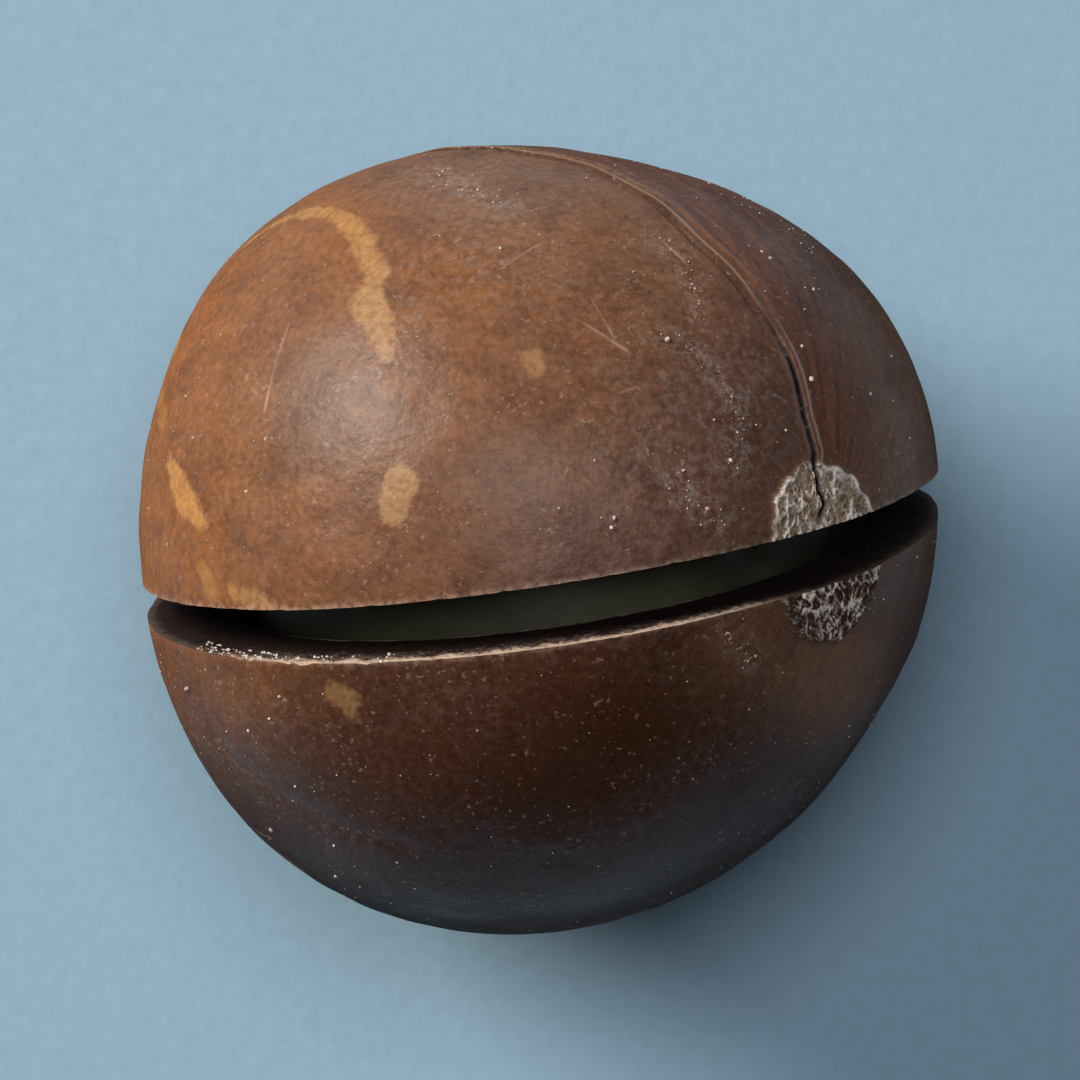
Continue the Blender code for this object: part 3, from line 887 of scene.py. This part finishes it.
# Lines along the suture: mm to the left of it, half width in mm, where it shows, strength, colour
SUTURE_LINES = (
    (0.27, 0.01, "edges", 0.35, "#9A7A68"),
    (-0.30, 0.02, "edges", 0.65, "#B29687"),
    (-0.48, 0.03, "raised", 0.22, "#9A6E54"),
    (0.15, 0.03, "raised", 0.70, "#1C0B05"),
    (-0.02, 0.03, "raised", 0.60, "#A6806A"),
    (0.0, 0.06, "opened", 1.00, "#0E0503"),
)


def with_suture(tree, read, colour):
    """Suture: a black crack between pale edges near the scar, then a pale thread beside a dark line."""
    for where, half, part, strength, tint in SUTURE_LINES:
        aside = put(tree, "Math", {0: read["suture"], 1: where}, operation="SUBTRACT")
        aside = put(tree, "Math", {0: aside}, operation="ABSOLUTE")
        line = put(
            tree, "MapRange",
            {"Value": aside, "From Min": half, "From Max": half + 0.07, "To Min": strength, "To Max": 0.0},
        )
        line = put(tree, "Math", {0: line, 1: read[part]}, operation="MULTIPLY")
        colour = put(tree, "Mix", {SHARE: line, BELOW: colour, ABOVE: rgba(tint)}, **COLOURS)
    return colour


def scratch_strokes():
    """Ends and half width of each scratch, in mm from the nut's middle: the clear ones, then the hidden."""
    strokes = []
    for x0, y0, x1, y1, half in SCRATCHES:
        start, end = on_skin(((x0, y0), (x1, y1)))
        strokes.append((start, end, half))
    for start, end in hidden_marks(HIDDEN_SCRATCHES, (1.0, 2.4), (0.07, 0.11), highest=0.35, seed=12):
        strokes.append((np.array(start[:3]), np.array(end[:3]), start[3]))
    return strokes


def with_scratches(tree, place, colour):
    """Scratches: straight strokes that taper to both ends, each a distance from its own chord."""
    here = put(
        tree, "VectorMath", {0: place, 1: (1.0 / MM,) * 3, 2: tuple(-middle_of_nut())},
        operation="MULTIPLY_ADD",
    )
    deepest = -1.0
    for start, end, half in scratch_strokes():
        way = end - start
        lift = 1.0 + (way @ way) / (16.0 * PLAN_RADIUS**2)
        from_start = put(tree, "VectorMath", {0: here, 1: tuple(start * lift)}, operation="SUBTRACT")
        share = put(
            tree, "VectorMath", {0: from_start, 1: tuple(way / (way @ way))},
            out="Value", operation="DOT_PRODUCT",
        )
        share = put(tree, "Math", {0: share, 1: 1.0}, operation="MULTIPLY", use_clamp=True)
        nearest = put(tree, "VectorMath", {0: tuple(way), "Scale": share}, operation="SCALE")
        gap = put(tree, "VectorMath", {0: from_start, 1: nearest}, out="Value", operation="DISTANCE")
        taper = put(tree, "Math", {0: share, 1: 0.5}, operation="PINGPONG")
        taper = put(tree, "Math", {0: taper, 1: 0.25}, operation="MINIMUM")
        depth = put(tree, "Math", {0: taper, 1: 4.0 * half}, operation="MULTIPLY")
        depth = put(tree, "Math", {0: depth, 1: gap}, operation="SUBTRACT")
        deepest = put(tree, "Math", {0: depth, 1: deepest}, operation="MAXIMUM")
    shown = put(tree, "MapRange", {"Value": deepest, "From Min": -0.01, "From Max": 0.06, "To Max": 0.62})
    broken = put(tree, "TexNoise", {"Vector": place, "Scale": per_metre(0.5), "Detail": 4.0})
    broken = put(tree, "MapRange", {"Value": broken, "From Min": 0.28, "From Max": 0.44, "To Min": 0.4})
    shown = put(tree, "Math", {0: shown, 1: broken}, operation="MULTIPLY")
    colour = put(tree, "Mix", {SHARE: shown, BELOW: colour, ABOVE: rgba(SCRATCH)}, **COLOURS)
    return colour, shown


def with_dust(tree, settings, place, read, colour):
    """Dust: a thin broken film, and fine pale threads of it along a few trails and in the crease."""
    thread = put(
        tree, "TexNoise", {"Vector": place, "Scale": per_metre(0.9), "Detail": 3.0, "Roughness": 0.6}
    )
    thread = put(tree, "Math", {0: thread, 1: 0.5}, operation="SUBTRACT")
    thread = put(tree, "Math", {0: thread}, operation="ABSOLUTE")
    thread = put(
        tree, "MapRange",
        {"Value": thread, "From Min": 0.0, "From Max": 0.02, "To Min": 0.42, "To Max": 0.0},
    )
    thread = put(tree, "Math", {0: thread, 1: read["trail"]}, operation="MULTIPLY")
    speckle = put(
        tree, "TexNoise", {"Vector": place, "Scale": per_metre(0.3), "Detail": 6.0, "Roughness": 0.75}
    )
    speckle = put(tree, "MapRange", {"Value": speckle, "From Min": 0.46, "From Max": 0.70, "To Max": 0.6})
    film = put(tree, "Math", {0: read["trail"], 1: 0.45, 2: read["film"]}, operation="MULTIPLY_ADD")
    film = put(tree, "Math", {0: read["crease"], 1: 0.15, 2: film}, operation="MULTIPLY_ADD", use_clamp=True)
    film = put(tree, "Math", {0: film, 1: speckle}, operation="MULTIPLY")
    amount = put(tree, "Math", {0: film, 1: thread}, operation="MAXIMUM")
    # Specks of dust caught in the grain, about a tenth of a millimetre across, lie everywhere
    specks = put(tree, "TexNoise", {"Vector": place, "Scale": per_metre(0.18), "Detail": 1.0})
    clumps = put(tree, "TexNoise", {"Vector": place, "Scale": per_metre(1.8), "Detail": 3.0})
    specks = put(tree, "Math", {0: clumps, 1: 0.35, 2: specks}, operation="MULTIPLY_ADD")
    specks = put(tree, "MapRange", {"Value": specks, "From Min": 0.845, "From Max": 0.95, "To Max": 0.5})
    colour = put(tree, "Mix", {SHARE: specks, BELOW: colour, ABOVE: rgba(SPECK)}, **COLOURS)
    colour = put(tree, "Mix", {SHARE: amount, BELOW: colour, ABOVE: rgba(settings.dust_colour)}, **COLOURS)
    return colour, amount


def seed_coat_material(settings):
    """Macadamia seed coat: hard woody skin, rubbed smooth. A satin brown with flecks, dust and grain."""
    labels = (
        "ochre", "clinging", "suture", "opened", "edges", "raised", "scar", "packed", "net", "crease",
        "trail", "film", "ruddy", "pigment_and_painted_shade", "plum_and_painted_shade", "warm", "matt", "brink",
    )
    material, tree, shader, place, read = start_material("rubbed_macadamia_seed_coat", labels)
    # Tight wood shows a grain of about a quarter of a millimetre in raking light
    grain = put(
        tree, "TexNoise", {"Vector": place, "Scale": per_metre(0.24), "Detail": 4.0, "Roughness": 0.6}
    )
    colour = bare_coat(tree, settings, place, read, grain)
    colour = with_flecks(tree, settings, place, read, grain, colour)
    colour, strand = with_scar(tree, settings, place, read, colour)
    colour = with_suture(tree, read, colour)
    # The saw bared a hair's width of paler wood along the slot; along the lower edge it is partly a painted
    # highlight
    worn = put(tree, "MapRange", {"Value": grain, "From Min": 0.42, "From Max": 0.58, "To Min": 0.1})
    worn = put(tree, "Math", {0: worn, 1: read["brink"]}, operation="MULTIPLY")
    colour = put(tree, "Mix", {SHARE: worn, BELOW: colour, ABOVE: rgba(settings.torn_colour)}, **COLOURS)
    colour, scratched = with_scratches(tree, place, colour)
    colour, dust = with_dust(tree, settings, place, read, colour)
    tree.links.new(colour, shader.inputs["Base Color"])

    polish = put(tree, "TexNoise", {"Vector": place, "Scale": per_metre(2.2), "Detail": 5.0})
    polish = put(
        tree, "MapRange",
        {"Value": polish, "From Min": 0.3, "From Max": 0.7, "To Min": 0.30, "To Max": 0.42},
    )
    dull = put(tree, "Math", {0: read["scar"], 1: dust}, operation="MAXIMUM")
    # The low sides, which nothing has rubbed, are matt, so they mirror little of the card beside them
    dull = put(tree, "Math", {0: dull, 1: read["matt"]}, operation="MAXIMUM")
    rough = put(tree, "Math", {0: dull, 1: 0.6, 2: polish}, operation="MULTIPLY_ADD", use_clamp=True)
    tree.links.new(rough, shader.inputs["Roughness"])
    # Rubbed and never varnished, it shines weakly
    shader.inputs["Specular IOR Level"].default_value = 0.22

    # Relief too fine for the mesh: grain, scratches, and the scar's fibres
    height = put(tree, "Math", {0: scratched, 1: -0.8, 2: grain}, operation="MULTIPLY_ADD")
    height = put(tree, "Math", {0: strand, 1: 3.0, 2: height}, operation="MULTIPLY_ADD")
    normal = put(tree, "Bump", {"Height": height, "Strength": 0.6, "Distance": 0.045 * MM})
    tree.links.new(normal, shader.inputs["Normal"])
    return material


def sawn_shell_material(settings):
    """Cut face of the shell: dense dark fibre, pale and torn just under the outer edge, partly a painted
    highlight where that edge is lit.
    """
    material, tree, shader, place, read = start_material("sawn_macadamia_shell", ("depth", "bare_and_lit"))
    fibre = put(
        tree, "TexNoise", {"Vector": place, "Scale": per_metre(0.2), "Detail": 6.0, "Roughness": 0.7}
    )
    fibres = put(tree, "MapRange", {"Value": fibre, "From Min": 0.38, "From Max": 0.72})
    colour = put(tree, "Mix", {SHARE: fibres, BELOW: rgba(WALL_PITS), ABOVE: rgba(WALL_FIBRES)}, **COLOURS)
    torn = put(tree, "Math", {0: fibre, 1: 0.34, 2: read["depth"]}, operation="MULTIPLY_ADD")
    torn = put(
        tree, "MapRange",
        {"Value": torn, "From Min": 0.20, "From Max": 0.30, "To Min": 1.0, "To Max": 0.0},
    )
    torn = put(tree, "Math", {0: torn, 1: read["bare_and_lit"]}, operation="MULTIPLY")
    # Fluffed fibres fade out inward from the torn edge; their paleness there is partly painted light
    fluff = put(tree, "Math", {0: fibre, 1: 1.6, 2: read["depth"]}, operation="MULTIPLY_ADD")
    fluff = put(
        tree, "MapRange",
        {"Value": fluff, "From Min": 0.80, "From Max": 1.15, "To Min": 0.45, "To Max": 0.0},
    )
    fluff = put(tree, "Math", {0: fluff, 1: read["bare_and_lit"]}, operation="MULTIPLY")
    colour = put(tree, "Mix", {SHARE: fluff, BELOW: colour, ABOVE: rgba(WALL_FLUFF)}, **COLOURS)
    colour = put(tree, "Mix", {SHARE: torn, BELOW: colour, ABOVE: rgba(settings.torn_colour)}, **COLOURS)
    tree.links.new(colour, shader.inputs["Base Color"])
    shader.inputs["Roughness"].default_value = 0.9
    shader.inputs["Specular IOR Level"].default_value = 0.1
    normal = put(tree, "Bump", {"Height": fibre, "Strength": 0.8, "Distance": 0.08 * MM})
    tree.links.new(normal, shader.inputs["Normal"])
    return material


def lining_material():
    """Inside of the shell: smooth brown, with the pale enamel that lines the half next to the scar."""
    material, tree, shader, place, read = start_material("macadamia_shell_lining", ("enamel",))
    cloud = put(tree, "TexNoise", {"Vector": place, "Scale": per_metre(1.5), "Detail": 5.0})
    edge = put(tree, "Math", {0: cloud, 1: 0.5, 2: read["enamel"]}, operation="MULTIPLY_ADD")
    edge = put(tree, "MapRange", {"Value": edge, "From Min": 0.70, "From Max": 0.80})
    colour = put(tree, "Mix", {SHARE: edge, BELOW: rgba(LINING_BROWN), ABOVE: rgba(ENAMEL)}, **COLOURS)
    tree.links.new(colour, shader.inputs["Base Color"])
    shader.inputs["Roughness"].default_value = 0.4
    return material


def kernel_material(settings):
    """Dried macadamia kernel: flesh under a thin film, slightly marbled, both darkened to olive with painted
    shade from the slot.
    """
    material, tree, shader, place, _ = start_material("macadamia_kernel_skin")
    cloud = put(
        tree, "TexNoise", {"Vector": place, "Scale": per_metre(3.0), "Detail": 5.0, "Distortion": 0.6}
    )
    cloud = put(tree, "MapRange", {"Value": cloud, "From Min": 0.35, "From Max": 0.68})
    colour = put(
        tree, "Mix", {SHARE: cloud, BELOW: rgba(settings.flesh_painted_shade_colour), ABOVE: rgba(settings.film_painted_shade_colour)},
        **COLOURS,
    )
    grain = put(tree, "TexNoise", {"Vector": place, "Scale": per_metre(0.35), "Detail": 5.0})
    rough = put(
        tree, "MapRange",
        {"Value": grain, "From Min": 0.3, "From Max": 0.7, "To Min": 0.42, "To Max": 0.58},
    )
    tree.links.new(colour, shader.inputs["Base Color"])
    tree.links.new(rough, shader.inputs["Roughness"])
    normal = put(tree, "Bump", {"Height": grain, "Strength": 0.5, "Distance": 0.03 * MM})
    tree.links.new(normal, shader.inputs["Normal"])
    return material


def dust_material(settings):
    """Loose grains of ground shell: matt, chalky and nearly white, some of them tan."""
    material, tree, shader, place, _ = start_material("loose_shell_dust")
    mixed = put(tree, "TexNoise", {"Vector": place, "Scale": per_metre(0.8), "Detail": 2.0})
    mixed = put(tree, "MapRange", {"Value": mixed, "From Min": 0.45, "From Max": 0.60})
    colour = put(
        tree, "Mix", {SHARE: mixed, BELOW: rgba(settings.grain_colour), ABOVE: rgba(TAN_GRAIN)}, **COLOURS
    )
    tree.links.new(colour, shader.inputs["Base Color"])
    shader.inputs["Roughness"].default_value = 0.7
    return material


def floor_material(settings):
    """Matt card: pale, with a faint tooth."""
    material, tree, shader, place, _ = start_material("pale_matt_card")
    tooth = put(tree, "TexNoise", {"Vector": place, "Scale": per_metre(0.5), "Detail": 4.0})
    tone = put(
        tree, "MapRange",
        {"Value": tooth, "From Min": 0.3, "From Max": 0.7, "To Min": 0.93, "To Max": 1.0},
    )
    colour = put(tree, "VectorMath", {0: rgba(settings.floor_colour)[:3], "Scale": tone}, operation="SCALE")
    tree.links.new(colour, shader.inputs["Base Color"])
    shader.inputs["Roughness"].default_value = 0.9
    normal = put(tree, "Bump", {"Height": tooth, "Strength": 0.3, "Distance": 0.05 * MM})
    tree.links.new(normal, shader.inputs["Normal"])
    return material


FLOOR_HALF = 0.6
# Soft lights: towards each, its distance and size in metres, and its colour
WINDOW = (direction(145.0, 29.0), 0.7, 0.36, "#FFFBF6")
CEILING = (direction(90.0, 80.0), 0.9, 0.45, "#F6F7FF")
ROOM_COLOUR, ROOM_STRENGTH = "#C8D4E0", 0.009
# Camera: width of its sensor in mm, and how near it sees in metres
SENSOR_WIDTH, NEAREST_SEEN = 36.0, 0.01


def add_floor(settings):
    """A flat sheet of card at floor level, which the nut lies on."""
    corners = [(x * FLOOR_HALF, y * FLOOR_HALF, 0.0) for x, y in ((-1, -1), (1, -1), (1, 1), (-1, 1))]
    data = bpy.data.meshes.new("pale_floor")
    data.from_pydata(corners, [], [(0, 1, 2, 3)])
    data.materials.append(floor_material(settings))
    floor = bpy.data.objects.new("pale_floor", data)
    bpy.context.scene.collection.objects.link(floor)


def add_soft_light(name, target, way, distance, size, colour, power):
    """A round soft light that shines on the target from a way and distance."""
    lamp = bpy.data.lights.new(name, "AREA")
    lamp.shape = "DISK"
    lamp.size = size
    lamp.energy = power
    lamp.color = linear(colour)
    light = bpy.data.objects.new(name, lamp)
    light.location = target + Vector(way) * distance
    light.rotation_euler = Vector(way).to_track_quat("Z", "Y").to_euler()
    bpy.context.scene.collection.objects.link(light)


def colour_property(name, description, default):
    """A colour that a user may change."""
    return bpy.props.FloatVectorProperty(
        name=name, description=description, default=linear(default), subtype="COLOR", min=0.0, max=1.0
    )


class MacadamiaShell(bpy.types.PropertyGroup):
    """Sizes and colours of the shell."""

    wall: bpy.props.FloatProperty(
        name="Wall", description="Thickness of the shell's wall", default=2.5 * MM, unit="LENGTH"
    )
    slot_width: bpy.props.FloatProperty(
        name="Slot width", description="Width of the slot at its sides", default=1.15 * MM, unit="LENGTH"
    )
    coat_colour: colour_property("Coat", "Main brown of the skin", "#7C563D")
    warm_colour: colour_property("Warm coat", "Orange-brown side and clouds", "#8F5420")
    # Partly pigment, partly painted shade
    pigment_and_painted_shade_colour: colour_property("Dark coat", "Dark red-brown below the slot", "#381C0E")
    deep_colour: colour_property("Blotches", "Dark blotches and streaks", "#42241A")
    fleck_colour: colour_property("Flecks", "Ochre flecks in the skin", "#BC843F")
    scar_colour: colour_property("Scar", "Pale fibres of the scar", "#F2E2D2")
    dust_colour: colour_property("Dust film", "Shell dust on the skin", "#A79A90")
    torn_colour: colour_property("Torn edge", "Bare shell at the slot's edge", "#C4A892")


class MacadamiaKernel(bpy.types.PropertyGroup):
    """Colours of the kernel."""

    # Both kernel colours are darkened to olive with painted shade
    flesh_painted_shade_colour: colour_property("Flesh", "Flesh of the kernel", "#504E3A")
    film_painted_shade_colour: colour_property("Film", "Thin skin on the kernel", "#3B3A2B")


class MacadamiaDust(bpy.types.PropertyGroup):
    """Loose grains of shell dust."""

    grain_count: bpy.props.IntProperty(
        name="Grains", description="Small grains scattered over the whole nut", default=620, min=0
    )
    grain_colour: colour_property("Grain colour", "Loose shell dust", "#D2C4B8")


class MacadamiaStage(bpy.types.PropertyGroup):
    """Floor, light and camera."""

    floor_colour: colour_property("Floor", "Colour of the floor", "#93B3C5")
    window_power: bpy.props.FloatProperty(
        name="Window", description="Power of the soft light from the upper left", default=6.3, unit="POWER"
    )
    ceiling_power: bpy.props.FloatProperty(
        name="Ceiling", description="Power of the weak light from above", default=3.6, unit="POWER"
    )
    camera_height: bpy.props.FloatProperty(
        name="Camera height", description="Height of the camera over the nut", default=0.42, unit="LENGTH"
    )
    view_width: bpy.props.FloatProperty(
        name="View width", description="Width that the camera sees", default=34.0 * MM, unit="LENGTH"
    )


class MACADAMIA_OT_shell(bpy.types.Operator):
    """Builds the woody shell with its slot, scar and suture"""

    bl_idname = "macadamia.shell"
    bl_label = "Shell"

    def execute(self, context):
        settings = context.scene.macadamia_shell
        points, faces, finish, depth = shell_patches()
        values = skin_values(points, depth)
        points[:, 2] = np.maximum(points[:, 2], -FLOOR_DROP)
        materials = (seed_coat_material(settings), sawn_shell_material(settings), lining_material())
        shell = new_object("woody_shell", points + middle_of_nut(), faces, finish, materials, values)
        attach(shell, "root")
        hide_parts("shell")
        return {"FINISHED"}


class MACADAMIA_OT_kernel(bpy.types.Operator):
    """Builds the loose kernel that shows in the slot"""

    bl_idname = "macadamia.kernel"
    bl_label = "Kernel"

    def execute(self, context):
        longitude = np.linspace(-math.pi, math.pi, KERNEL_COLUMNS + 1)
        middle_line = np.zeros_like(longitude)
        work = Patchwork()
        for side in (1, -1):
            cap = cap_grid(longitude, middle_line, side, kernel_radius, KERNEL_ROWS, evenly)
            work.add(cap, 0, side < 0)
        points, faces, finish, _ = work.sewn()
        low, high = (np.array(corner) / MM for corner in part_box("kernel"))
        points = points + (low + high - points.min(axis=0) - points.max(axis=0)) / 2.0
        finishes = (kernel_material(context.scene.macadamia_kernel),)
        kernel = new_object("dried_kernel", points, faces, finish, finishes, {})
        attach(kernel, "root")
        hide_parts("kernel")
        return {"FINISHED"}


class MACADAMIA_OT_dust(bpy.types.Operator):
    """Scatters the loose grains of shell dust that the saw left"""

    bl_idname = "macadamia.dust"
    bl_label = "Dust grains"

    def execute(self, context):
        settings = context.scene.macadamia_dust
        points, faces = grain_mesh(settings.grain_count)
        finish = np.zeros(len(faces))
        finishes = (dust_material(settings),)
        dust = new_object("dust_grains", points + middle_of_nut(), faces, finish, finishes, {})
        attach(dust, "root")
        return {"FINISHED"}


class MACADAMIA_OT_stage(bpy.types.Operator):
    """Lays the floor and sets up the soft light and the camera above the nut"""

    bl_idname = "macadamia.stage"
    bl_label = "Floor, light and camera"

    def execute(self, context):
        settings = context.scene.macadamia_stage
        scene = context.scene
        add_floor(settings)
        middle = Vector((0.0, 0.0, (CAD_HIGH[2] + CAD_LOW[2]) / 2.0))
        add_soft_light("soft_window", middle, *WINDOW, settings.window_power)
        add_soft_light("soft_ceiling", middle, *CEILING, settings.ceiling_power)
        world = bpy.data.worlds.new("dim_room")
        world.use_nodes = True
        room = world.node_tree.nodes["Background"]
        room.inputs["Color"].default_value = rgba(ROOM_COLOUR)
        room.inputs["Strength"].default_value = ROOM_STRENGTH
        scene.world = world
        scene.view_settings.view_transform = "Standard"
        lens = bpy.data.cameras.new("camera_above")
        lens.sensor_width = SENSOR_WIDTH
        lens.lens = SENSOR_WIDTH * settings.camera_height / settings.view_width
        lens.clip_start = NEAREST_SEEN
        camera = bpy.data.objects.new("camera_above", lens)
        camera.location = middle + Vector((0.0, 0.0, settings.camera_height))
        scene.collection.objects.link(camera)
        scene.camera = camera
        return {"FINISHED"}


GROUPS = {
    "macadamia_shell": MacadamiaShell,
    "macadamia_kernel": MacadamiaKernel,
    "macadamia_dust": MacadamiaDust,
    "macadamia_stage": MacadamiaStage,
}
OPERATORS = (MACADAMIA_OT_shell, MACADAMIA_OT_kernel, MACADAMIA_OT_dust, MACADAMIA_OT_stage)


class MACADAMIA_PT_panel(bpy.types.Panel):
    """Lists the pieces in the sidebar, each with its sizes and colours"""

    bl_label = "Macadamia"
    bl_idname = "MACADAMIA_PT_panel"
    bl_space_type = "VIEW_3D"
    bl_region_type = "UI"
    bl_category = "Macadamia"

    def draw(self, context):
        for (label, group), operator in zip(GROUPS.items(), OPERATORS):
            box = self.layout.box()
            for name in group.__annotations__:
                box.prop(getattr(context.scene, label), name)
            box.operator(operator.bl_idname)


def register():
    for label, group in GROUPS.items():
        bpy.utils.register_class(group)
        setattr(bpy.types.Scene, label, bpy.props.PointerProperty(type=group))
    for operator in (*OPERATORS, MACADAMIA_PT_panel):
        bpy.utils.register_class(operator)


def unregister():
    for operator in (MACADAMIA_PT_panel, *reversed(OPERATORS)):
        bpy.utils.unregister_class(operator)
    for label, group in reversed(GROUPS.items()):
        delattr(bpy.types.Scene, label)
        bpy.utils.unregister_class(group)


def main():
    register()
    bpy.ops.macadamia.shell()
    bpy.ops.macadamia.kernel()
    bpy.ops.macadamia.dust()
    bpy.ops.macadamia.stage()


if __name__ == "__main__":
    main()
